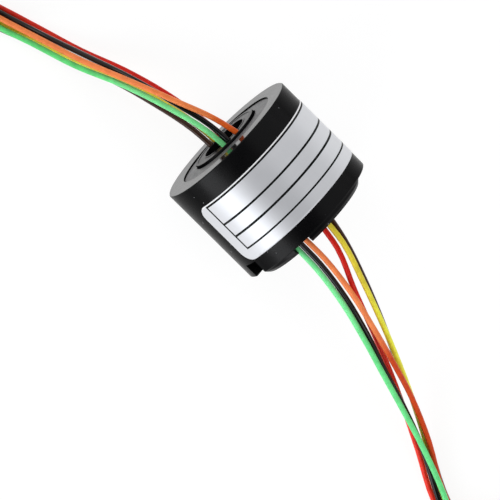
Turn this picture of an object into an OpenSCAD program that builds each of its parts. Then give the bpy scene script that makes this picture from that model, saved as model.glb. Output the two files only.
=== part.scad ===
// Through-bore slip ring: six circuits, 7 mm bore, 22 mm body.
// It lies on its side. The bore runs along X at height axis_z, +X is the
// rotor-lead end, and Z = 0 is the surface that it rests on.
// Inside the modules, t runs from the rotor-end rim towards the stator end,
// and angles turn from straight up (+Z) towards +Y.

/* [Housing] */
// Outside diameter of the housing
body_d = 22; // [22:0.25:24]
// Length of the housing from rim to rim
body_len = 16; // [16:0.1:16]
// Bevel on the outer edges of the rims
rim_bevel = 0.12; // [0.05:0.01:0.3]
// Diameter of the recess that holds the front cover
recess_d = 16.3; // [16:0.1:16.8]
// Width of the anti-rotation notch
notch_w = 2.9; // [1:0.1:4]
// Length of the notch along the body
notch_len = 2.15; // [1:0.05:2.5]
// Angle of the notch
notch_a = 63.7; // [40:0.1:90]

/* [Label] */
// Thickness of the metal foil label
label_t = 0.05; // [0.04:0.01:0.12]
// Distance from the rotor-end rim to the label's near edge
label_t0 = 3.36; // [1:0.01:4]
// Distance from the rotor-end rim to the label's far edge
label_t1 = 13.59; // [12:0.01:13.9]
// Angle of the label's free edge on the +Y side
label_a1 = 62; // [40:1:90]
// Angle of the label's other free edge
label_a0 = -135; // [-150:1:-90]
// Corner radius of the label
label_r = 1.8; // [0.5:0.05:2]

/* [Rotor] */
// Diameter of the through bore
bore_d = 7; // [6:0.1:7]
// Diameter of the boss at the rotor end
boss_d = 11.06; // [10.8:0.02:11.1]
// How far the boss stands proud of the rim
boss_h = 0.35; // [0.2:0.05:1]
// Depth of the ring face where the leads leave
lead_face_h = 0.05; // [0.05:0.05:0.3]
// Radius of the circle of lead channels
channel_pcr = 4.35; // [4.3:0.05:4.4]
// Diameter of each lead channel
channel_d = 0.9; // [0.86:0.01:0.92]

/* [Contacts] */
// Number of contact rings
circuits = 6; // [6:1:6]
// Distance between contact rings
ring_pitch = 1.2; // [1.15:0.01:1.2]
// Width of a contact ring
ring_w = 0.8; // [0.6:0.05:0.8]
// Diameter of the brush wire
brush_d = 0.26; // [0.15:0.01:0.26]

/* [Bearings] */
// Outside diameter of a bearing
brg_od = 15; // [15:0.1:15]
// Bore of a bearing
brg_id = 10; // [10:0.1:10]
// Width of a bearing
brg_w = 3; // [3:0.1:3]
// Number of balls in a bearing
ball_n = 9; // [6:1:9]
// Diameter of a ball
ball_d = 1.44; // [1.3:0.02:1.44]

/* [Rear cover] */
// Diameter of the lugs behind the rim
lug_d = 18.4; // [18.2:0.05:18.4]
// How far the lugs stand behind the rim
lug_h = 1.2; // [0.5:0.1:2]
// Bevel on the lugs' outer edge
lug_bevel = 0.45; // [0.1:0.05:0.5]
// Width of each gap between lugs, in degrees
gap_deg = 18.3; // [10:0.1:22]
// Angle of the gap that three leads pass through
gap_a = 19; // [17:0.5:21]

/* [Leads] */
// Diameter of a lead over its insulation
lead_d = 0.8; // [0.6:0.05:0.8]
// Radius of the outermost turn in a lead coil
coil_r1 = 7.6; // [7.6:0.1:7.8]
// Radius of the innermost turn in a lead coil
coil_r0 = 2.1; // [2:0.1:2.4]
// Height between leads in a coil
coil_step = 0.85; // [0.8:0.01:0.88]
// Thickness of the ties that hold the coils
tie_t = 0.3; // [0.2:0.05:0.4]
// Width of the ties
tie_w = 1.6; // [1:0.1:2.2]
// Width of a tie's head
tie_head = 2.8; // [2.6:0.1:3.2]

/* [Hidden] */
$fn = 96;

axis_z = 11;                       // height of the bore axis
rim_x = 8.4;                       // X of the rotor-end rim
body_r = body_d / 2;
bore_r = bore_d / 2;
boss_r = boss_d / 2;
recess_r = recess_d / 2;
cavity_r = 9.2;                    // inside radius of the housing
core_r = brg_id / 2;
lug_r = lug_d / 2;
cover_t0 = 0.05;                   // front cover, outer face at the boss
cover_te = 0.22;                   // and at its outer edge
cover_t1 = 1.3;                    // front cover, inner face
brg1_t = 1.35;                     // front bearing, near face
brg2_t = 12.1;                     // rear bearing, near face
core_t1 = 16.6;                    // rear end of the rotor core
wall_t = 15.12;                    // inner face of the rear cover's end wall
ring_t0 = 5.2;                     // first contact ring
race_i = 5.75;                     // land radius of the inner race
race_o = 6.75;                     // land radius of the outer race
ball_pr = (race_i + race_o) / 2;
groove_r = 0.77;                   // race groove radius
slot_r = 8.08;                     // radius at which the stator leads leave
cut = 0.01;

// bore axis frame
module along() { translate([rim_x, 0, axis_z]) rotate([0, -90, 0]) children(); }
// solid or hollow turned part from [radius, t] points
module turned(pts) { rotate_extrude($fn = 128) polygon(pts); }
module ring(r0, r1, t0, t1) { turned([[r0, t0], [r1, t0], [r1, t1], [r0, t1]]); }
// sector of a ring between two angles
module sector(r0, r1, t0, t1, a0, a1) {
  translate([0, 0, t0]) rotate([0, 0, a0])
    rotate_extrude(angle = a1 - a0, $fn = 128) translate([r0, 0]) square([r1 - r0, t1 - t0]);
}

// ---------- stator ----------
module housing() {
  b = rim_bevel;
  color([0.06, 0.06, 0.07]) along() difference() {
    turned([[recess_r, 0], [body_r - b, 0], [body_r, b], [body_r, body_len - b],
      [body_r - b, body_len], [cavity_r, body_len], [cavity_r, 4.75], [7.05, 4.75],
      [7.05, brg1_t + brg_w], [brg_od / 2, brg1_t + brg_w], [brg_od / 2, brg1_t - 0.03],
      [recess_r, brg1_t - 0.03]]);
    // anti-rotation notch through the rear of the wall
    rotate([0, 0, notch_a]) translate([cavity_r - 1, -notch_w / 2, body_len - notch_len])
      cube([4, notch_w, notch_len + 1]);
  }
}

module front_cover() {
  color([0.22, 0.22, 0.23]) along()
    turned([[5.66, cover_t0], [recess_r - 0.08, cover_te], [recess_r - 0.02, cover_te + 0.15],
      [recess_r - 0.02, cover_t1], [5.66, cover_t1]]);
}

module rear_cover() {
  b = lug_bevel;
  color([0.08, 0.08, 0.09]) along() difference() {
    union() {
      // skirt that holds the rear bearing, and the end wall
      turned([[brg_od / 2, brg2_t - 0.02], [cavity_r - 0.02, brg2_t - 0.02], [cavity_r - 0.02, body_len],
        [6.3, body_len], [6.3, wall_t], [brg_od / 2, wall_t]]);
      // three lugs
      difference() {
        turned([[8.55, body_len - cut], [cavity_r - 0.02, body_len - cut], [lug_r, body_len + 0.03],
          [lug_r, body_len + lug_h - b], [lug_r - b, body_len + lug_h], [8.55, body_len + lug_h]]);
        for (k = [0:2]) rotate([0, 0, gap_a + 120 * k])
          sector(8, 12, body_len, body_len + lug_h + 1, -gap_deg / 2, gap_deg / 2);
      }
    }
    // two slots for the leads
    sector(7.66, 8.5, brg2_t - 1, body_len + 1, 11.5, 31.2);
    sector(7.66, 8.5, brg2_t - 1, body_len + 1, -23, -3);
  }
}

module label() {
  r0 = body_r + 0.005;
  r1 = body_r + 0.005 + label_t;
  color([0.79, 0.80, 0.82]) along() difference() {
    sector(r0, r1, label_t0, label_t1, label_a0, label_a1);
    // rounded corners
    for (c = [[label_a1, -1, label_t0, 1], [label_a1, -1, label_t1, -1],
              [label_a0, 1, label_t0, 1], [label_a0, 1, label_t1, -1]])
      rotate([0, 0, c[0] + c[1] * label_r / r1 * 180 / PI])
        translate([r0 - 1, 0, c[2] + c[3] * label_r]) difference() {
          translate([0, c[1] > 0 ? -3 : 0, c[3] > 0 ? -3 : 0]) cube([3, 3, 3]);
          translate([-1, 0, 0]) rotate([0, 90, 0]) cylinder(r = label_r + 0.03, h = 5, $fn = 48);
        }
  }
}

module brush_block() {
  color([0.62, 0.45, 0.20]) along() difference() {
    intersection() {
      ring(7.15, 9.1, 4.8, 12.03);
      translate([0, -3.1, 0]) cube([12, 6.2, 20]);
    }
    // one groove for each brush
    for (i = [0:circuits - 1])
      translate([8.15, -4, ring_t0 + i * ring_pitch - 0.17]) cube([2, 8, 0.34]);
  }
}

// spring wire bent like a staple: its legs press on both sides of a ring
brush_x = 8.35;
brush_y = 3.3;
brush_q = 6.62;                                  // leg's distance from the axis
brush_rad = sqrt(brush_x * brush_x + brush_y * brush_y);
brush_turn = atan2(brush_y, brush_x) + acos(brush_q / brush_rad);
module brush(i) {
  t = ring_t0 + (i - 1) * ring_pitch;
  r = brush_d / 2;
  color([0.85, 0.66, 0.28]) along() {
    translate([brush_x, -brush_y, t]) rotate([-90, 0, 0]) cylinder(r = r, h = 2 * brush_y, $fn = 24);
    for (m = [0, 1]) mirror([0, m, 0]) {
      translate([brush_x, brush_y, t]) sphere(r = r, $fn = 24);
      translate([brush_x, brush_y, t]) rotate([0, 0, brush_turn + 90]) rotate([0, 90, 0])
        cylinder(r = r, h = 7.2, $fn = 24);
    }
  }
}

// ---------- rotor ----------
module rotor_core() {
  color([0.13, 0.13, 0.14]) along() difference() {
    turned([[bore_r, -boss_h + 0.1], [bore_r + 0.1, -boss_h], [3.85, -boss_h],
      [3.85, -boss_h + lead_face_h], [core_r, -boss_h + lead_face_h], [core_r, -boss_h],
      [boss_r - 0.12, -boss_h], [boss_r, -boss_h + 0.12], [boss_r, brg1_t], [core_r, brg1_t],
      [core_r, 15.18], [4.75, 15.18], [4.75, 15.62], [core_r, 15.62],
      [core_r, core_t1 - 0.15], [core_r - 0.15, core_t1], [bore_r + 0.1, core_t1], [bore_r, core_t1 - 0.1]]);
    // lead channels, one to each ring
    for (i = [0:5]) rotate([0, 0, rotor_exit[i]]) translate([channel_pcr, 0, -1])
      cylinder(d = channel_d, h = 1 + ring_t0 + i * ring_pitch, $fn = 32);
  }
}

module ring_carrier() {
  hub = 5.85;
  color([0.86, 0.84, 0.78]) along() union() {
    ring(core_r + 0.02, hub, brg1_t + brg_w + 0.02, brg2_t - 0.02);
    for (i = [0:circuits]) ring(hub - 0.1, 6.95, 4.6 - 0.175 + i * ring_pitch, 4.6 + 0.175 + i * ring_pitch);
  }
}

module contact_ring(i) {
  t = ring_t0 + (i - 1) * ring_pitch;
  w = ring_w / 2;
  color([0.93, 0.74, 0.28]) along()
    turned([[5.87, t - w], [6.6, t - w], [6.6, t - 0.25], [6.4, t], [6.6, t + 0.25], [6.6, t + w], [5.87, t + w]]);
}

module retaining_ring() {
  color([0.55, 0.56, 0.58]) along() difference() {
    ring(4.77, 5.72, 15.2, 15.6);
    translate([0, 0, 14]) linear_extrude(3) polygon([[0, 0], [-9, 4.2], [-9, -4.2]]);
  }
}

// ---------- bearings ----------
module groove(t) { translate([ball_pr, t]) circle(r = groove_r, $fn = 48); }
module race_outer(t) {
  color([0.70, 0.71, 0.73]) along() rotate_extrude($fn = 128) difference() {
    translate([race_o, t]) square([brg_od / 2 - 0.02 - race_o, brg_w]);
    groove(t + brg_w / 2);
  }
}
module race_inner(t) {
  color([0.74, 0.75, 0.77]) along() rotate_extrude($fn = 128) difference() {
    translate([core_r + 0.01, t]) square([race_i - core_r - 0.01, brg_w]);
    groove(t + brg_w / 2);
  }
}
module balls(t) {
  color([0.82, 0.83, 0.85]) along()
    for (k = [0:ball_n - 1]) rotate([0, 0, k * 360 / ball_n])
      translate([ball_pr, 0, t + brg_w / 2]) sphere(d = ball_d, $fn = 32);
}
module cage(t) {
  color([0.75, 0.60, 0.32]) along() difference() {
    ring(5.98, 6.52, t + 0.5, t + brg_w - 0.5);
    for (k = [0:ball_n - 1]) rotate([0, 0, k * 360 / ball_n])
      translate([5.6, 0, t + brg_w / 2]) rotate([0, 90, 0]) cylinder(r = 0.8, h = 1.3, $fn = 48);
  }
}

// ---------- leads ----------
// angle of each lead where it leaves: red, black, orange, yellow, green, brown
rotor_exit = [181, -2.6, -25.6, 166, 8.9, 153.5];
stator_exit = [-7.2, 21.2, 15.0, -13.2, 27.65, -19.5];
function off_y(r, a) = r * sin(a);
function off_z(r, a) = axis_z + r * cos(a);

rotor_coil = [55, 6];              // centre of the rotor leads' coil
stator_coil = [-66, 13];           // centre of the stator leads' coil

// routes on the rotor side, from the channel to the coil
rr_red =    [[12, 0.28, 5.8], [18, 1.3, 4.6], [24, 3.0, 2.8], [30, 5.3, 1.2], [36, 7.1, 0.4], [42, 8.9, 0.4], [45.5, 10.1, 1.0], [48, 11.6, 1.5], [50.4, 12.6, 1.55]];
rr_black =  [[12, 0.15, 15.1], [18, 1.5, 14.7], [24, 3.1, 13.8], [30, 5.3, 9.0], [36, 7.6, 3.0], [42, 9.5, 1.2], [45.5, 10.4, 2.0], [48, 11.6, 3.3], [50.4, 12.6, 3.25]];
rr_orange = [[12, -1.0, 15.2], [18, 1.15, 15.8], [24, 3.5, 14.8], [30, 6.15, 9.7], [36, 8.3, 3.7], [42, 10.2, 1.8], [45.5, 11.1, 2.8], [48, 11.7, 5.0], [50.4, 12.6, 4.95]];
rr_yellow = [[12, 1.37, 6.4], [18, 2.55, 5.0], [24, 4.55, 3.2], [30, 7.0, 1.5], [36, 9.0, 1.25], [42, 10.65, 0.6], [45.5, 11.1, 0.4], [48, 11.9, 0.5], [50.4, 12.6, 0.7]];
rr_green =  [[12, 1.03, 15.6], [18, 2.5, 15.2], [24, 4.5, 13.8], [30, 7.28, 9.0], [36, 9.42, 3.0], [42, 11.4, 1.3], [45.5, 11.9, 2.2], [48, 12.2, 4.2], [50.4, 12.6, 4.1]];
rr_brown =  [[12, 2.2, 6.6], [18, 3.43, 4.6], [24, 5.15, 2.4], [30, 7.7, 0.6], [36, 9.5, 0.4], [42, 11.6, 0.4], [45.5, 12.1, 1.2], [48, 12.2, 2.4], [50.4, 12.6, 2.4]];

// routes on the stator side, from the slot to the coil
sr_red =    [[-12, -0.17, 19.0], [-18, 2.25, 17.7], [-24, 4.35, 15.0], [-30, 6.43, 10.7], [-36, 8.73, 6.0], [-43, 11.84, 2.2], [-50, 15.3, 0.4], [-54, 16.6, 1.2], [-57, 17.4, 2.4], [-60.2, 18.6, 2.4]];
sr_black =  [[-12, 3.03, 18.4], [-18, 3.87, 17.4], [-24, 5.36, 15.7], [-30, 7.17, 11.6], [-36, 8.8, 7.1], [-43, 11.2, 3.5], [-50, 14.6, 1.4], [-54, 16.4, 2.2], [-57, 17.4, 4.2], [-60.2, 18.6, 4.1]];
sr_orange = [[-12, 2.1, 18.9], [-18, 2.88, 18.6], [-24, 4.2, 16.9], [-30, 5.65, 13.0], [-36, 7.22, 8.2], [-43, 9.93, 3.9], [-50, 13.55, 1.5], [-54, 14.9, 2.0], [-57, 16.8, 3.3], [-60.2, 18.6, 3.25]];
sr_yellow = [[-12, -1.25, 18.9], [-18, 0.63, 18.1], [-24, 2.68, 16.0], [-30, 4.8, 11.9], [-36, 7.1, 7.0], [-43, 10.35, 2.9], [-50, 14.35, 0.4], [-54, 15.9, 0.4], [-57, 17.1, 0.5], [-60.2, 18.6, 0.7]];
sr_green =  [[-12, 3.87, 18.3], [-18, 4.69, 17.8], [-24, 6.12, 16.3], [-30, 7.7, 12.6], [-36, 9.2, 8.1], [-43, 11.15, 4.5], [-50, 13.7, 2.65], [-54, 15.6, 2.9], [-57, 16.9, 5.1], [-60.2, 18.6, 4.95]];
sr_brown =  [[-12, -1.72, 17.9], [-18, 0.22, 17.1], [-24, 2.48, 15.0], [-30, 4.85, 10.8], [-36, 7.0, 5.9], [-43, 9.85, 1.8], [-50, 13.35, 0.4], [-54, 15.0, 1.0], [-57, 16.8, 1.5], [-60.2, 18.6, 1.55]];

// tube of eight sides through a list of points
function unit(v) = v / norm(v);
function dir_at(p, i) = unit(p[min(i + 1, len(p) - 1)] - p[max(i - 1, 0)]);
function side_at(p, i) = unit(cross([0, 0, 1], dir_at(p, i)));
function ring_at(p, i, r) = [for (k = [0:7]) p[i]
  + r * cos(45 * k) * side_at(p, i) + r * sin(45 * k) * cross(dir_at(p, i), side_at(p, i))];
module tube(p, d) {
  n = len(p);
  polyhedron(
    points = [for (i = [0:n - 1]) each ring_at(p, i, d / 2)],
    faces = concat([[for (k = [0:7]) k]], [[for (k = [7:-1:0]) 8 * (n - 1) + k]],
      [for (i = [0:n - 2], k = [0:7]) [8 * i + k, 8 * i + 8 + k, 8 * i + 8 + (k + 1) % 8, 8 * i + (k + 1) % 8]]));
}
module rotor_lead(k, route, c) {
  y = off_y(channel_pcr, rotor_exit[k]);
  z = off_z(channel_pcr, rotor_exit[k]);
  color(c) tube(concat([[8.4, y, z]], route), lead_d);
}
module stator_lead(k, route, c) {
  y = off_y(slot_r, stator_exit[k]);
  z = off_z(slot_r, stator_exit[k]);
  color(c) tube(concat([[-7.4, y, z]], route), lead_d);
}

// outer shape of six leads wound into one coil
coil_h = 5 * coil_step + lead_d;
module coil(c) {
  color([0.25, 0.25, 0.27]) translate([c[0], c[1], tie_t]) rotate_extrude($fn = 96)
    translate([coil_r0 - lead_d / 2, 0]) square([coil_r1 - coil_r0 + lead_d, coil_h]);
}
// cable tie round one side of a coil: rounded band, head and cut tail
module tie(c, a) {
  r0 = coil_r0 - lead_d / 2;
  x0 = sqrt(r0 * r0 - tie_w * tie_w / 4) - 0.05;
  x1 = coil_r1 + lead_d / 2 + 0.05;
  h = coil_h + 2 * tie_t;
  e = tie_t + 0.2;
  color([0.15, 0.15, 0.16]) translate([c[0], c[1], 0]) rotate([0, 0, a]) {
    difference() {
      union() {
        translate([x0 - tie_t, -tie_w / 2, e]) cube([x1 - x0 + 2 * tie_t, tie_w, h - 2 * e]);
        translate([x0 - tie_t + e, -tie_w / 2, 0]) cube([x1 - x0 + 2 * tie_t - 2 * e, tie_w, h]);
        for (x = [x0 - tie_t + e, x1 + tie_t - e], z = [e, h - e])
          translate([x, tie_w / 2, z]) rotate([90, 0, 0]) cylinder(r = e, h = tie_w, $fn = 48);
        translate([x1, -tie_head / 2, h / 2 - 1.3]) cube([tie_t + 1.5, tie_head, 2.6]);
        translate([x1 + tie_t + 0.35, -tie_w / 2, h / 2 + 1.2]) cube([tie_t, tie_w, 0.8]);
      }
      translate([x0, -tie_head, tie_t - 0.02]) cube([x1 - x0, 2 * tie_head, coil_h + 0.04]);
      translate([x1 + tie_t + 0.35 + tie_t, -tie_w / 2 - 0.1, h / 2 - 2]) cube([0.4, tie_w + 0.2, 4]);
    }
  }
}

housing();
front_cover();
rear_cover();
label();
rotor_core();
ring_carrier();
retaining_ring();
contact_ring(1);  // contact_ring_1
contact_ring(2);  // contact_ring_2
contact_ring(3);  // contact_ring_3
contact_ring(4);  // contact_ring_4
contact_ring(5);  // contact_ring_5
contact_ring(6);  // contact_ring_6
brush_block();
brush(1);  // brush_1
brush(2);  // brush_2
brush(3);  // brush_3
brush(4);  // brush_4
brush(5);  // brush_5
brush(6);  // brush_6
race_outer(brg1_t);  // front_bearing_outer
race_inner(brg1_t);  // front_bearing_inner
balls(brg1_t);  // front_bearing_balls
cage(brg1_t);  // front_bearing_cage
race_outer(brg2_t);  // rear_bearing_outer
race_inner(brg2_t);  // rear_bearing_inner
balls(brg2_t);  // rear_bearing_balls
cage(brg2_t);  // rear_bearing_cage
rotor_lead(0, rr_red, [0.80, 0.10, 0.08]);  // rotor_lead_red
rotor_lead(1, rr_black, [0.05, 0.05, 0.05]);  // rotor_lead_black
rotor_lead(2, rr_orange, [0.95, 0.40, 0.12]);  // rotor_lead_orange
rotor_lead(3, rr_yellow, [0.92, 0.82, 0.15]);  // rotor_lead_yellow
rotor_lead(4, rr_green, [0.25, 0.78, 0.35]);  // rotor_lead_green
rotor_lead(5, rr_brown, [0.32, 0.13, 0.06]);  // rotor_lead_brown
coil(rotor_coil);  // rotor_lead_coil
tie(rotor_coil, -60);  // rotor_lead_tie
stator_lead(4, sr_green, [0.25, 0.78, 0.35]);  // stator_lead_green
stator_lead(1, sr_black, [0.05, 0.05, 0.05]);  // stator_lead_black
stator_lead(2, sr_orange, [0.95, 0.40, 0.12]);  // stator_lead_orange
stator_lead(0, sr_red, [0.80, 0.10, 0.08]);  // stator_lead_red
stator_lead(3, sr_yellow, [0.92, 0.82, 0.15]);  // stator_lead_yellow
stator_lead(5, sr_brown, [0.20, 0.10, 0.06]);  // stator_lead_brown
coil(stator_coil);  // stator_lead_coil
tie(stator_coil, -120);  // stator_lead_tie
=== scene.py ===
import math

import bmesh
import bpy
import numpy as np
from mathutils import Matrix, Vector


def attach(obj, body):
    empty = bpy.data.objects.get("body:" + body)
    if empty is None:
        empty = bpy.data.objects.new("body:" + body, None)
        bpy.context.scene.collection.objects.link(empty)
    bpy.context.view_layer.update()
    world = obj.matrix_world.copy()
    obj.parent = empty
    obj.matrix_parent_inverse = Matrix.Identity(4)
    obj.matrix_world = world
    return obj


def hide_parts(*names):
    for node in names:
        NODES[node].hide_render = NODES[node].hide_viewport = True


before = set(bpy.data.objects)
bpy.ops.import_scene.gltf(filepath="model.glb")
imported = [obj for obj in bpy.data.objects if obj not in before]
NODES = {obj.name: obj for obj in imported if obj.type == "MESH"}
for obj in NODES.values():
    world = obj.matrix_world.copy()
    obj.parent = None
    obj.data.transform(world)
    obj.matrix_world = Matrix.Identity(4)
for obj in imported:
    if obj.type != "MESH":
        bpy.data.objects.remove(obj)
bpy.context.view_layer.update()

MM = 0.001
AXIS_Z = 11.0      # height of the bore axis
RIM_X = 8.4        # X of the rotor-end rim
SKY = (0.66, 0.66, 0.67)     # radiance of the studio walls
CAP = (0.05, 0.05, 0.055)    # and of the dark patch overhead
CAP_OUT, CAP_IN = 0.86, 0.94
KEY = 2.8
FILL = 2.0
scene = bpy.context.scene


# ------------------------------------------------------------------ helpers
def link(obj):
    scene.collection.objects.link(obj)
    return obj


def piece_from_bmesh(name, bm, mats, smooth_deg=35):
    bmesh.ops.recalc_face_normals(bm, faces=bm.faces)
    me = bpy.data.meshes.new(name)
    bm.to_mesh(me)
    bm.free()
    for m in mats:
        me.materials.append(m)
    ob = link(bpy.data.objects.new(name, me))
    for p in me.polygons:
        p.use_smooth = True
    me.set_sharp_from_angle(angle=math.radians(smooth_deg))
    return ob


class Mat:
    """A node material with one Principled shader and a few noise helpers."""

    def __init__(self, name, color, rough=0.4, metallic=0.0, spec=0.5, coat=0.0, coat_rough=0.1):
        self.m = bpy.data.materials.new(name)
        self.m.use_nodes = True
        self.nt = self.m.node_tree
        self.nt.nodes.clear()
        self.out = self.nt.nodes.new("ShaderNodeOutputMaterial")
        self.p = self.nt.nodes.new("ShaderNodeBsdfPrincipled")
        self.nt.links.new(self.p.outputs["BSDF"], self.out.inputs["Surface"])
        self.p.inputs["Base Color"].default_value = (*color, 1)
        self.p.inputs["Roughness"].default_value = rough
        self.p.inputs["Metallic"].default_value = metallic
        self.p.inputs["Specular IOR Level"].default_value = spec
        if coat:
            self.p.inputs["Coat Weight"].default_value = coat
            self.p.inputs["Coat Roughness"].default_value = coat_rough
        self.coord = None
        self.m.diffuse_color = (*color, 1)

    def node(self, kind, **props):
        n = self.nt.nodes.new(kind)
        for k, v in props.items():
            setattr(n, k, v)
        return n

    def link(self, a, b):
        self.nt.links.new(a, b)

    def position(self):
        if self.coord is None:
            self.coord = self.node("ShaderNodeTexCoord").outputs["Object"]
        return self.coord

    def scaled(self, scale):
        mp = self.node("ShaderNodeMapping")
        mp.inputs["Scale"].default_value = scale
        self.link(self.position(), mp.inputs["Vector"])
        return mp.outputs["Vector"]

    def noise(self, scale, detail=3.0, rough=0.5, vector=None, distortion=0.0):
        n = self.node("ShaderNodeTexNoise")
        n.inputs["Scale"].default_value = scale
        n.inputs["Detail"].default_value = detail
        n.inputs["Roughness"].default_value = rough
        n.inputs["Distortion"].default_value = distortion
        self.link(vector if vector is not None else self.position(), n.inputs["Vector"])
        return n.outputs["Fac"]

    def remap(self, fac, lo, hi, a=0.3, b=0.7, smooth=False):
        r = self.node("ShaderNodeMapRange")
        r.interpolation_type = "SMOOTHSTEP" if smooth else "LINEAR"
        r.inputs["From Min"].default_value = a
        r.inputs["From Max"].default_value = b
        r.inputs["To Min"].default_value = lo
        r.inputs["To Max"].default_value = hi
        self.link(fac, r.inputs["Value"])
        return r.outputs["Result"]

    def math(self, op, a, b=None, c=None):
        n = self.node("ShaderNodeMath", operation=op)
        for i, v in enumerate((a, b, c)):
            if v is None:
                continue
            if isinstance(v, (int, float)):
                n.inputs[i].default_value = v
            else:
                self.link(v, n.inputs[i])
        return n.outputs[0]

    def mix(self, fac, a, b, blend="MIX"):
        n = self.node("ShaderNodeMix", data_type="RGBA", blend_type=blend)
        for sock, v in ((n.inputs["Factor"], fac), (n.inputs["A"], a), (n.inputs["B"], b)):
            if isinstance(v, tuple):
                sock.default_value = (*v, 1)
            elif isinstance(v, (int, float)):
                sock.default_value = v
            else:
                self.link(v, sock)
        return n.outputs["Result"]

    def color(self, sock):
        self.link(sock, self.p.inputs["Base Color"])

    def rough(self, sock):
        self.link(sock, self.p.inputs["Roughness"])

    def bump(self, height, distance, strength=1.0):
        b = self.node("ShaderNodeBump")
        b.inputs["Distance"].default_value = distance
        b.inputs["Strength"].default_value = strength
        self.link(height, b.inputs["Height"])
        self.link(b.outputs["Normal"], self.p.inputs["Normal"])
        return b

    def xyz(self):
        s = self.node("ShaderNodeSeparateXYZ")
        self.link(self.position(), s.inputs[0])
        return s.outputs

    def radius(self):
        """Distance from the bore axis."""
        x, y, z = self.xyz()
        dz = self.math("SUBTRACT", z, AXIS_Z * MM)
        return self.math("SQRT", self.math("ADD", self.math("MULTIPLY", y, y), self.math("MULTIPLY", dz, dz)))


# ------------------------------------------------------------------ camera
PHI = math.radians(9.4)
TH = math.radians(44.7)
DIST = 2.0
aim = Vector((-4.87, 8.48, 11.0)) * MM
back = Vector((math.sin(PHI), 0, math.cos(PHI)))
right = Vector((-math.sin(math.radians(45.3)) * math.cos(PHI), -math.cos(math.radians(45.3)), math.sin(math.radians(45.3)) * math.sin(PHI)))
up = back.cross(right)
cam_data = bpy.data.cameras.new("camera")
cam_data.sensor_width = 36.0
cam_data.sensor_fit = "HORIZONTAL"
cam_data.lens = 36.0 * DIST / 0.06904
cam_data.clip_start = 0.05
cam_data.clip_end = 50.0
cam = link(bpy.data.objects.new("camera", cam_data))
rot = Matrix((right, up, back)).transposed()
cam.matrix_world = Matrix.Translation(aim + back * DIST) @ rot.to_4x4()
scene.camera = cam

# ------------------------------------------------------------------ leads
# Routes in millimetres, the same points as in the part's source.
ORDER = ["red", "black", "orange", "yellow", "green", "brown"]
LEAD_D = 0.8
ROTOR_EXIT = [181, -2.6, -25.6, 166, 8.9, 153.5]
STATOR_EXIT = [-7.2, 21.2, 15.0, -13.2, 27.65, -19.5]
ROTOR_ROUTE = {
    "red": [[12, 0.28, 5.8], [18, 1.3, 4.6], [24, 3.0, 2.8], [30, 5.3, 1.2], [36, 7.1, 0.4], [42, 8.9, 0.4], [45.5, 10.1, 1.0], [48, 11.6, 1.5], [50.4, 12.6, 1.55]],
    "black": [[12, 0.15, 15.1], [18, 1.5, 14.7], [24, 3.1, 13.8], [30, 5.3, 9.0], [36, 7.6, 3.0], [42, 9.5, 1.2], [45.5, 10.4, 2.0], [48, 11.6, 3.3], [50.4, 12.6, 3.25]],
    "orange": [[12, -1.0, 15.2], [18, 1.15, 15.8], [24, 3.5, 14.8], [30, 6.15, 9.7], [36, 8.3, 3.7], [42, 10.2, 1.8], [45.5, 11.1, 2.8], [48, 11.7, 5.0], [50.4, 12.6, 4.95]],
    "yellow": [[12, 1.37, 6.4], [18, 2.55, 5.0], [24, 4.55, 3.2], [30, 7.0, 1.5], [36, 9.0, 1.25], [42, 10.65, 0.6], [45.5, 11.1, 0.4], [48, 11.9, 0.5], [50.4, 12.6, 0.7]],
    "green": [[12, 1.03, 15.6], [18, 2.5, 15.2], [24, 4.5, 13.8], [30, 7.28, 9.0], [36, 9.42, 3.0], [42, 11.4, 1.3], [45.5, 11.9, 2.2], [48, 12.2, 4.2], [50.4, 12.6, 4.1]],
    "brown": [[12, 2.2, 6.6], [18, 3.43, 4.6], [24, 5.15, 2.4], [30, 7.7, 0.6], [36, 9.5, 0.4], [42, 11.6, 0.4], [45.5, 12.1, 1.2], [48, 12.2, 2.4], [50.4, 12.6, 2.4]],
}
STATOR_ROUTE = {
    "red": [[-12, -0.17, 19.0], [-18, 2.25, 17.7], [-24, 4.35, 15.0], [-30, 6.43, 10.7], [-36, 8.73, 6.0], [-43, 11.84, 2.2], [-50, 15.3, 0.4], [-54, 16.6, 1.2], [-57, 17.4, 2.4], [-60.2, 18.6, 2.4]],
    "black": [[-12, 3.03, 18.4], [-18, 3.87, 17.4], [-24, 5.36, 15.7], [-30, 7.17, 11.6], [-36, 8.8, 7.1], [-43, 11.2, 3.5], [-50, 14.6, 1.4], [-54, 16.4, 2.2], [-57, 17.4, 4.2], [-60.2, 18.6, 4.1]],
    "orange": [[-12, 2.1, 18.9], [-18, 2.88, 18.6], [-24, 4.2, 16.9], [-30, 5.65, 13.0], [-36, 7.22, 8.2], [-43, 9.93, 3.9], [-50, 13.55, 1.5], [-54, 14.9, 2.0], [-57, 16.8, 3.3], [-60.2, 18.6, 3.25]],
    "yellow": [[-12, -1.25, 18.9], [-18, 0.63, 18.1], [-24, 2.68, 16.0], [-30, 4.8, 11.9], [-36, 7.1, 7.0], [-43, 10.35, 2.9], [-50, 14.35, 0.4], [-54, 15.9, 0.4], [-57, 17.1, 0.5], [-60.2, 18.6, 0.7]],
    "green": [[-12, 3.87, 18.3], [-18, 4.69, 17.8], [-24, 6.12, 16.3], [-30, 7.7, 12.6], [-36, 9.2, 8.1], [-43, 11.15, 4.5], [-50, 13.7, 2.65], [-54, 15.6, 2.9], [-57, 16.9, 5.1], [-60.2, 18.6, 4.95]],
    "brown": [[-12, -1.72, 17.9], [-18, 0.22, 17.1], [-24, 2.48, 15.0], [-30, 4.85, 10.8], [-36, 7.0, 5.9], [-43, 9.85, 1.8], [-50, 13.35, 0.4], [-54, 15.0, 1.0], [-57, 16.8, 1.5], [-60.2, 18.6, 1.55]],
}
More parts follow.
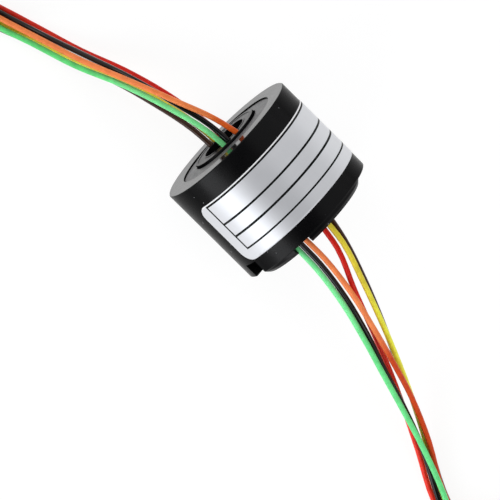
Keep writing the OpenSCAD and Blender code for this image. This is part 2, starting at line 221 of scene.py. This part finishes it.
COILS = {"rotor": ((55.0, 6.0), 108.0, -1), "stator": ((-66.0, 13.0), 56.0, 1)}
COIL_R1, COIL_R0, TURN = 7.6, 2.1, 0.82
LEAD_LENGTH = 250.0


def smooth_route(points, n=4):
    """A smooth line through the points, n steps to each."""
    p = np.array(points, float)
    q = np.vstack([2 * p[0] - p[1], p, 2 * p[-1] - p[-2]])
    out = []
    for i in range(1, len(q) - 2):
        p0, p1, p2, p3 = q[i - 1], q[i], q[i + 1], q[i + 2]
        d0, d1, d2 = (np.linalg.norm(b - a) for a, b in ((p0, p1), (p1, p2), (p2, p3)))
        m1 = ((p1 - p0) / d0 * d1 + (p2 - p1) / d1 * d0) / (d0 + d1)
        m2 = ((p2 - p1) / d1 * d2 + (p3 - p2) / d2 * d1) / (d1 + d2)
        for t in np.linspace(0, 1, n, endpoint=False):
            h = (2 * t**3 - 3 * t**2 + 1, t**3 - 2 * t**2 + t, -2 * t**3 + 3 * t**2, t**3 - t**2)
            out.append(h[0] * p1 + h[1] * m1 * d1 + h[2] * p2 + h[3] * m2 * d1)
    out.append(p[-1])
    return np.array(out)


def lead_line(side, k, color):
    """The centreline of a lead, from its hole to its end inside the coil."""
    if side == "rotor":
        a, r, x0, route = math.radians(ROTOR_EXIT[k]), 4.35, 8.0, ROTOR_ROUTE[color]
    else:
        a, r, x0, route = math.radians(STATOR_EXIT[k]), 8.08, -6.95, STATOR_ROUTE[color]
    start = [x0, r * math.sin(a), AXIS_Z + r * math.cos(a)]
    (cx, cy), a0, turn = COILS[side]
    z = route[-1][2]
    head = smooth_route([start] + route + [[cx + COIL_R1 * math.cos(math.radians(a0 + turn * i)), cy + COIL_R1 * math.sin(math.radians(a0 + turn * i)), z] for i in (0, 12)])
    head = head[:-4]
    head[:, 2] = np.maximum(head[:, 2], 0.4)
    used = float(np.linalg.norm(np.diff(head, axis=0), axis=1).sum())
    line, step, i = [head], 10.0, 1
    coil = []
    last = head[-1]
    while used < LEAD_LENGTH:
        deg = i * step
        rr = COIL_R1 - TURN * deg / 360
        if rr < COIL_R0:
            break
        at = math.radians(a0 + turn * deg)
        p = np.array([cx + rr * math.cos(at), cy + rr * math.sin(at), z])
        used += float(np.linalg.norm(p - last))
        coil.append(p)
        last = p
        i += 1
    return np.vstack([head, np.array(coil)]), used


def curve_piece(name, line_mm, diameter_mm, mat, ring=4):
    cu = bpy.data.curves.new(name, "CURVE")
    cu.dimensions = "3D"
    cu.bevel_depth = diameter_mm / 2 * MM
    cu.bevel_resolution = ring
    cu.use_fill_caps = True
    cu.twist_mode = "MINIMUM"
    sp = cu.splines.new("POLY")
    sp.points.add(len(line_mm) - 1)
    for pt, p in zip(sp.points, line_mm):
        pt.co = (*(np.array(p) * MM), 1)
    sp.use_smooth = True
    cu.materials.append(mat)
    return link(bpy.data.objects.new(name, cu))


def lead_material(name, near, far, x0, x1, rough=0.34, spec=0.16):
    """Drawn wire insulation; its colour goes from near to far between x0 and x1 (mm from the middle, along the
    bore), which is painted light and shade along the lead.
    """
    m = Mat(name, near, rough=rough, spec=spec)
    n = m.noise(900, 4)
    streak = m.noise(1.0, 2, vector=m.scaled((160, 2600, 2600)))
    xyz = m.node("ShaderNodeSeparateXYZ")
    m.link(m.position(), xyz.inputs["Vector"])
    # painted light and shade: this colour ramp along X makes the lead lighter or darker where light and shade
    # fall on it
    along = m.remap(m.math("ABSOLUTE", xyz.outputs["X"]), 0, 1, x0 * MM, x1 * MM, smooth=True)
    grain = m.remap(n, 0, 1, 0.35, 0.65)
    ends = [m.mix(grain, tuple(c * 0.88 for c in rgb), tuple(min(1, c * 1.05 + 0.003) for c in rgb)) for rgb in (near, far)]
    m.color(m.mix(along, ends[0], ends[1]))
    m.rough(m.math("ADD", m.remap(streak, rough - 0.05, rough + 0.07), 0.0))
    m.bump(streak, 0.000012, 0.5)
    return m.m


LEAD_RGB = {  # colour near the body, colour further out, and where the one turns into the other; the change between them is painted light and shade along each lead
    "rotor_red": ((0.70, 0.014, 0.006), (0.70, 0.025, 0.010), 24, 34),
    "rotor_black": ((0.003, 0.003, 0.0035), (0.016, 0.010, 0.008), 22, 28),
    "rotor_orange": ((1.0, 0.15, 0.018), (1.0, 0.262, 0.076), 11, 14.5),
    "rotor_yellow": ((0.86, 0.68, 0.048), (0.90, 0.76, 0.060), 20, 30),
    "rotor_green": ((0.23, 0.90, 0.33), (0.125, 0.72, 0.20), 22, 30),
    "rotor_brown": ((0.045, 0.012, 0.002), (0.045, 0.012, 0.002), 12, 30),
    "stator_red": ((0.64, 0.010, 0.003), (1.0, 0.045, 0.024), 14, 26),
    "stator_black": ((0.016, 0.016, 0.018), (0.0015, 0.0015, 0.0015), 11, 24),
    "stator_orange": ((1.0, 0.262, 0.082), (0.65, 0.055, 0.001), 23, 30),
    "stator_yellow": ((0.82, 0.67, 0.045), (1.0, 0.96, 0.062), 17, 24),
    "stator_green": ((0.24, 1.0, 0.38), (0.165, 0.85, 0.285), 17, 28),
    "stator_brown": ((0.045, 0.012, 0.002), (0.045, 0.012, 0.002), 12, 30),
}
lead_mats = {n: lead_material("lead_" + n, *v, **({"rough": 0.12, "spec": 0.30} if n.endswith(("black", "brown")) else {}))
             for n, v in LEAD_RGB.items()}

copper = Mat("tinned_copper", (0.62, 0.60, 0.58), rough=0.32, metallic=1.0)
strand = copper.noise(1.0, 2, vector=copper.scaled((700, 9000, 9000)))
copper.rough(copper.remap(strand, 0.22, 0.48))
copper.color(copper.mix(copper.remap(strand, 0, 1), (0.45, 0.42, 0.40), (0.72, 0.70, 0.68)))
copper.bump(strand, 0.00004, 0.8)

leads = []
for side in ("rotor", "stator"):
    (cx, cy), a0, turn = COILS[side]
    for k, color in enumerate(ORDER):
        line, used = lead_line(side, k, color)
        ob = curve_piece(f"{side}_lead_{color}_insulation", line, LEAD_D, lead_mats[f"{side}_{color}"])
        # stripped and tinned end of the strands, 1.6 mm long
        end, before = line[-1], line[-2]
        d = (end - before) / np.linalg.norm(end - before)
        tip = curve_piece(f"{side}_lead_{color}_strands", [end - d * 0.3, end + d * 0.5, end + d * 1.1, end + d * 1.6], 0.46, copper.m, ring=3)
        nodes = [f"{side}_lead_{color}"]
        if k == 0:
            nodes.append(f"{side}_lead_coil")
        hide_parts(*nodes)
        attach(ob, side)
        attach(tip, side)
        leads.append(ob)

# ------------------------------------------------------------------ materials of the CAD pieces
def fading_gloss(m, near, far, f0=0.20, f1=0.38):
    """Specular level that falls from near to far as the surface turns away."""
    lw = m.node("ShaderNodeLayerWeight")
    lw.inputs["Blend"].default_value = 0.5
    return m.remap(lw.outputs["Facing"], near, far, f0, f1)


def black_plastic(name, base=(0.010, 0.010, 0.013), rough=0.30, grain=0.00001, spec=0.5, specks=True, far=None):
    m = Mat(name, base, rough=rough, spec=spec)
    if far is not None:
        m.link(fading_gloss(m, spec, far), m.p.inputs["Specular IOR Level"])
    fine = m.noise(5200, 4, 0.6)
    wide = m.noise(240, 3, 0.55)
    rsum = m.math("ADD", m.remap(fine, -0.05, 0.05), m.remap(wide, rough - 0.03, rough + 0.05))
    m.rough(rsum)
    col = m.mix(m.remap(wide, 0, 1), tuple(c * 0.8 for c in base), tuple(c * 1.25 for c in base))
    if specks:
        # a few grains of pale dust
        dots = m.noise(1500, 1, 0.4)
        col = m.mix(m.remap(dots, 0, 1, 0.765, 0.80, smooth=True), col, (0.16, 0.16, 0.17))
    m.color(col)
    m.bump(fine, grain, 0.6)
    return m


housing = black_plastic("housing_black", base=(0.0025, 0.0025, 0.0028), rough=0.27, spec=0.14, far=0.035)
# the rim faces are smoother than the moulded side
x, y, z = housing.xyz()
on_rim = housing.remap(x, 0, 1, (RIM_X - 0.03) * MM, (RIM_X - 0.01) * MM)
rim_rough = housing.remap(housing.noise(420, 3), 0.11, 0.17)
side_rough = housing.p.inputs["Roughness"].links[0].from_socket
pick = housing.node("ShaderNodeMix", data_type="FLOAT")
housing.link(on_rim, pick.inputs["Factor"])
housing.link(side_rough, pick.inputs["A"])
housing.link(rim_rough, pick.inputs["B"])
housing.rough(pick.outputs["Result"])
side_spec = housing.p.inputs["Specular IOR Level"].links[0].from_socket
pick = housing.node("ShaderNodeMix", data_type="FLOAT")
housing.link(on_rim, pick.inputs["Factor"])
housing.link(side_spec, pick.inputs["A"])
pick.inputs["B"].default_value = 0.15
housing.link(pick.outputs["Result"], housing.p.inputs["Specular IOR Level"])

cover = Mat("cover_grey", (0.10, 0.10, 0.105), rough=0.42, spec=0.37)
g1, g2 = cover.noise(4200, 5, 0.7), cover.noise(700, 3)
cover.color(cover.mix(cover.remap(g1, 0, 1, 0.3, 0.7), (0.025, 0.025, 0.028), (0.17, 0.17, 0.175)))
cover.rough(cover.math("ADD", cover.remap(g1, -0.08, 0.08), cover.remap(g2, 0.36, 0.48)))
cover.bump(g1, 0.00005, 0.85)

rear = black_plastic("cover_black", base=(0.003, 0.003, 0.0035), rough=0.32, spec=0.16, far=0.06)
rotor = black_plastic("rotor_black", base=(0.003, 0.003, 0.0035), rough=0.30, spec=0.15, specks=False)
# the end faces are polished, the turned sides are dull
tcn = rotor.node("ShaderNodeTexCoord")
sep = rotor.node("ShaderNodeSeparateXYZ")
rotor.link(tcn.outputs["Normal"], sep.inputs[0])
on_end = rotor.remap(rotor.math("ABSOLUTE", sep.outputs[0], 0.0), 0, 1, 0.75, 0.9)
pick = rotor.node("ShaderNodeMix", data_type="FLOAT")
rotor.link(on_end, pick.inputs["Factor"])
rotor.link(fading_gloss(rotor, 0.12, 0.0), pick.inputs["A"])
pick.inputs["B"].default_value = 0.15
rotor.link(pick.outputs["Result"], rotor.p.inputs["Specular IOR Level"])
# turning marks round the bore axis
rr = rotor.radius()
marks = rotor.node("ShaderNodeTexWave", wave_type="BANDS", bands_direction="X")
marks.inputs["Scale"].default_value = 3800
marks.inputs["Distortion"].default_value = 1.5
comb = rotor.node("ShaderNodeCombineXYZ")
rotor.link(rr, comb.inputs[0])
rotor.link(rotor.xyz()[0], comb.inputs[1])
rotor.link(comb.outputs[0], marks.inputs["Vector"])
rotor.bump(marks.outputs["Fac"], 0.000006, 0.5)


def metal(name, a, b, rough, scale=(1, 1, 1), amount=0.00001, noise_scale=2500):
    m = Mat(name, a, rough=rough, metallic=1.0)
    n = m.noise(noise_scale, 4, 0.6, vector=m.scaled(scale))
    w = m.noise(300, 3)
    m.color(m.mix(m.remap(n, 0, 1, 0.3, 0.7), a, b))
    m.rough(m.math("ADD", m.remap(n, -0.05, 0.06), m.remap(w, rough - 0.04, rough + 0.05)))
    m.bump(n, amount, 0.6)
    return m.m


steel = metal("bearing_steel", (0.56, 0.57, 0.60), (0.70, 0.71, 0.74), 0.18, scale=(3, 1, 1))
spring = metal("spring_steel", (0.40, 0.41, 0.43), (0.55, 0.56, 0.58), 0.30)
gold = metal("gold_plate", (0.83, 0.55, 0.16), (0.95, 0.70, 0.28), 0.22, scale=(6, 1, 1))
brass = metal("cage_brass", (0.62, 0.42, 0.15), (0.78, 0.58, 0.26), 0.32)

carrier = Mat("carrier", (0.78, 0.74, 0.62), rough=0.5)
cn = carrier.noise(900, 4)
carrier.color(carrier.mix(carrier.remap(cn, 0, 1), (0.70, 0.65, 0.52), (0.84, 0.80, 0.70)))
carrier.rough(carrier.remap(cn, 0.42, 0.6))
carrier.bump(cn, 0.00001, 0.5)

laminate = Mat("laminate", (0.42, 0.28, 0.09), rough=0.45)
wv = laminate.node("ShaderNodeTexBrick")
wv.inputs["Scale"].default_value = 2600
wv.inputs["Color1"].default_value = (0.50, 0.36, 0.13, 1)
wv.inputs["Color2"].default_value = (0.42, 0.29, 0.10, 1)
wv.inputs["Mortar"].default_value = (0.30, 0.19, 0.06, 1)
laminate.link(laminate.position(), wv.inputs["Vector"])
laminate.color(wv.outputs["Color"])
laminate.rough(laminate.remap(laminate.noise(1500), 0.35, 0.55))

tie_mat = black_plastic("tie_black", base=(0.016, 0.016, 0.017), rough=0.42, specks=False)


def give(node, mat):
    ob = NODES[node]
    if not ob.data.materials:
        ob.data.materials.append(mat)
    for s in ob.material_slots:
        s.material = mat


for n in NODES:
    if n == "housing":
        give(n, housing.m)
    elif n == "front_cover":
        give(n, cover.m)
    elif n == "rear_cover":
        give(n, rear.m)
    elif n == "rotor_core":
        give(n, rotor.m)
    elif n == "ring_carrier":
        give(n, carrier.m)
    elif n == "retaining_ring":
        give(n, spring)
    elif n.startswith("contact_ring") or n.startswith("brush_") and n != "brush_block":
        give(n, gold)
    elif n == "brush_block":
        give(n, laminate.m)
    elif n.endswith("_cage"):
        give(n, brass)
    elif "bearing" in n:
        give(n, steel)
    elif n.endswith("_tie"):
        give(n, tie_mat.m)

# ------------------------------------------------------------------ label
R_IN, R_OUT = 11.005, 11.055
T0, T1, A0, A1, CORNER = 3.36, 13.59, -135.0, 62.0, 1.8


def on_body(t, a, r):
    """Point at distance t behind the rotor-end rim, angle a from the top and radius r."""
    return Vector((RIM_X - t, r * math.sin(math.radians(a)), AXIS_Z + r * math.cos(math.radians(a)))) * MM


def foil_material():
    m = Mat("foil", (0.75, 0.76, 0.78), rough=0.42, metallic=0.50, spec=0.12)
    # slow unevenness of the foil and fine brushing along the body
    slow = m.noise(120, 3, 0.5)
    brush = m.noise(1.0, 2, 0.5, vector=m.scaled((300, 5000, 5000)))
    tone = m.math("ADD", m.remap(brush, -0.12, 0.12, 0.25, 0.75), m.remap(slow, 0.2, 0.8, 0.3, 0.7))
    m.color(m.mix(tone, (0.665, 0.675, 0.70), (0.725, 0.735, 0.76)))
    m.rough(m.remap(slow, 0.40, 0.45, 0.3, 0.7))
    m.bump(slow, 0.0000004, 0.3)
    return m.m


def ink_material():
    m = Mat("ruled_ink", (0.004, 0.004, 0.004), rough=0.6, spec=0.12)
    n = m.noise(5000, 3)
    m.color(m.mix(m.remap(n, 0, 1), (0.003, 0.003, 0.003), (0.006, 0.006, 0.006)))
    m.rough(m.remap(n, 0.5, 0.7))
    return m.m


def margin_material():
    m = Mat("label_margin", (0.88, 0.88, 0.89), rough=0.35, metallic=0.0)
    n = m.noise(3000, 3)
    m.color(m.mix(m.remap(n, 0, 1), (0.84, 0.84, 0.85), (0.92, 0.92, 0.93)))
    m.rough(m.remap(n, 0.28, 0.42))
    return m.m


foil, ink, margin = foil_material(), ink_material(), margin_material()


def label_grid():
    """Rows and columns of the label: they follow the ruled lines' edges and the rounded corners."""
    rules = [(3.70, 0.145), (7.06, 0.155), (9.37, 0.165), (11.71, 0.13)]
    left, right = 50.7, -123.7
    w_deg = math.degrees(0.14 / R_OUT)
    ts = sorted(set([T0, T0 + 0.06, T1 - 0.06, T1] + [v for t, h in rules for v in (t - h, t + h)]
                    + [T0 + CORNER * f for f in (0.35, 0.6, 0.8, 1.0)] + [T1 - CORNER * f for f in (1.0, 0.75, 0.5, 0.3, 0.15)]
                    + [5.4, 6.3, 8.3, 10.6]))
    cd = math.degrees(CORNER / R_OUT)
    angles = [A0, A1, left - w_deg, left + w_deg, right - w_deg, right + w_deg]
    angles += [A1 - cd * f for f in (0.02, 0.05, 0.1, 0.17, 0.25, 0.35, 0.46, 0.58, 0.7, 0.85, 1.0)] + [A0 + cd * f for f in (0.02, 0.05, 0.1, 0.17, 0.25, 0.35, 0.46, 0.58, 0.7, 0.85, 1.0)]
    angles += [A0 + (A1 - A0) * i / 110 for i in range(1, 110)]
    angles = sorted(set(round(a, 4) for a in angles))
    kept = [angles[0]]
    keep = {round(v, 4) for v in (left - w_deg, left + w_deg, right - w_deg, right + w_deg, A1)}
    for a in angles[1:]:
        if a - kept[-1] < 0.12 and a not in keep:
            continue
        kept.append(a)
    angles = kept
    return ts, angles, rules, left, right, w_deg


def edge_limits(a):
    """The label's t range at angle a, with its rounded corners."""
    cd = CORNER
    u = math.radians(a) * R_OUT
    u0, u1 = math.radians(A0) * R_OUT, math.radians(A1) * R_OUT
    d = min(u - u0, u1 - u)
    if d >= cd:
        return T0, T1
    k = cd - math.sqrt(max(cd * cd - (cd - d) ** 2, 0))
    return T0 + k, T1 - k


def make_label():
    ts, angles, rules, left, right, w_deg = label_grid()
    bm = bmesh.new()
    cols = []
    for a in angles:
        lo, hi = edge_limits(a)
        col = []
        for t in ts:
            tt = min(max(t, lo), hi)
            d = min(tt - lo, hi - tt, (math.radians(A1 - a)) * R_OUT, (math.radians(a - A0)) * R_OUT)
            r = R_OUT - 0.03 * max(0.0, 1 - d / 0.06) ** 2
            col.append(bm.verts.new(on_body(tt, a, r)))
        cols.append(col)
    back_cols = []
    for a in angles:
        lo, hi = edge_limits(a)
        back_cols.append([bm.verts.new(on_body(min(max(t, lo), hi), a, R_IN)) for t in ts])

    def inked(t, a):
        if not (right - w_deg < a < left + w_deg):
            return False
        for rt, h in rules:
            if rt - h < t < rt + h:
                return True
        if rules[0][0] < t < rules[-1][0]:
            return abs(a - left) < w_deg or abs(a - right) < w_deg
        return False

    for i in range(len(angles) - 1):
        am = (angles[i] + angles[i + 1]) / 2
        for j in range(len(ts) - 1):
            q = (cols[i][j], cols[i + 1][j], cols[i + 1][j + 1], cols[i][j + 1])
            b = (back_cols[i][j], back_cols[i + 1][j], back_cols[i + 1][j + 1], back_cols[i][j + 1])
            tm = (ts[j] + ts[j + 1]) / 2
            for face, is_top in ((q, True), (b, False)):
                f = bm.faces.new(face)
                if is_top:
                    f.material_index = 1 if inked(tm, am) else (2 if tm < 3.55 else 0)
    # edge walls
    for i in range(len(angles) - 1):
        bm.faces.new((cols[i][0], cols[i + 1][0], back_cols[i + 1][0], back_cols[i][0]))
        bm.faces.new((cols[i][-1], cols[i + 1][-1], back_cols[i + 1][-1], back_cols[i][-1]))
    for j in range(len(ts) - 1):
        bm.faces.new((cols[0][j], cols[0][j + 1], back_cols[0][j + 1], back_cols[0][j]))
        bm.faces.new((cols[-1][j], cols[-1][j + 1], back_cols[-1][j + 1], back_cols[-1][j]))
    bmesh.ops.remove_doubles(bm, verts=bm.verts, dist=0.0000005)
    bmesh.ops.dissolve_degenerate(bm, edges=bm.edges, dist=0.0000005)
    return piece_from_bmesh("label_foil", bm, [foil, ink, margin], smooth_deg=50)


label = make_label()
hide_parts("label")
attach(label, "stator")

# ------------------------------------------------------------------ floor, light
floor_mat = bpy.data.materials.new("floor")
floor_mat.use_nodes = True
fnt = floor_mat.node_tree
fnt.nodes.clear()
fo = fnt.nodes.new("ShaderNodeOutputMaterial")
fd = fnt.nodes.new("ShaderNodeBsdfDiffuse")
fd.inputs["Color"].default_value = (0.20, 0.20, 0.20, 1)
fe = fnt.nodes.new("ShaderNodeEmission")
fe.inputs["Color"].default_value = (1, 1, 1, 1)
fe.inputs["Strength"].default_value = 0.86
fa = fnt.nodes.new("ShaderNodeAddShader")
fnt.links.new(fd.outputs[0], fa.inputs[0])
fnt.links.new(fe.outputs[0], fa.inputs[1])
fnt.links.new(fa.outputs[0], fo.inputs["Surface"])
fme = bpy.data.meshes.new("floor")
fme.from_pydata([(-6, -6, -2e-5), (6, -6, -2e-5), (6, 6, -2e-5), (-6, 6, -2e-5)], [], [(0, 1, 2, 3)])
fme.materials.append(floor_mat)
floor = link(bpy.data.objects.new("floor", fme))

# A pale studio with a dark patch overhead.
world = bpy.data.worlds.new("world")
scene.world = world
world.use_nodes = True
wt = world.node_tree
wt.nodes.clear()
wo = wt.nodes.new("ShaderNodeOutputWorld")
bg = wt.nodes.new("ShaderNodeBackground")
tc = wt.nodes.new("ShaderNodeTexCoord")
dot = wt.nodes.new("ShaderNodeVectorMath")
dot.operation = "DOT_PRODUCT"
dot.inputs[1].default_value = Vector((-0.156, 0.085, 0.984)).normalized()
wt.links.new(tc.outputs["Generated"], dot.inputs[0])
ramp = wt.nodes.new("ShaderNodeValToRGB")
ramp.color_ramp.interpolation = "EASE"
els = ramp.color_ramp.elements
els[0].position, els[0].color = 0.0, (*SKY, 1)
els[1].position, els[1].color = 1.0, (*CAP, 1)
e = els.new(CAP_OUT); e.color = (*SKY, 1)
e = els.new(CAP_IN); e.color = (*CAP, 1)
wt.links.new(dot.outputs["Value"], ramp.inputs["Fac"])
wt.links.new(ramp.outputs["Color"], bg.inputs["Color"])
bg.inputs["Strength"].default_value = 1.0
wt.links.new(bg.outputs[0], wo.inputs["Surface"])


def soft_box(name, direction, distance, size, radiance, color=(1, 1, 1), target=(0, 0, 0.011)):
    """Area light of the given radiance, facing the target."""
    d = Vector(direction).normalized()
    la = bpy.data.lights.new(name, "AREA")
    la.shape = "RECTANGLE"
    la.size, la.size_y = size
    la.energy = radiance * math.pi * size[0] * size[1]
    la.color = color
    ob = link(bpy.data.objects.new(name, la))
    ob.location = Vector(target) + d * distance
    ob.rotation_mode = "QUATERNION"
    ob.rotation_quaternion = d.to_track_quat("Z", "Y")
    return ob


soft_box("key", (-0.16, 0.88, 0.49), 0.6, (0.42, 0.34), KEY, (0.95, 0.97, 1.0))
soft_box("front", (0.80, -0.05, 0.60), 0.8, (0.4, 0.4), FILL)
soft_box("rear", (-0.80, -0.10, 0.60), 0.8, (0.4, 0.4), FILL)

scene.view_settings.view_transform = "Standard"
scene.view_settings.look = "None"
scene.view_settings.exposure = 0.0
scene.view_settings.gamma = 1.0
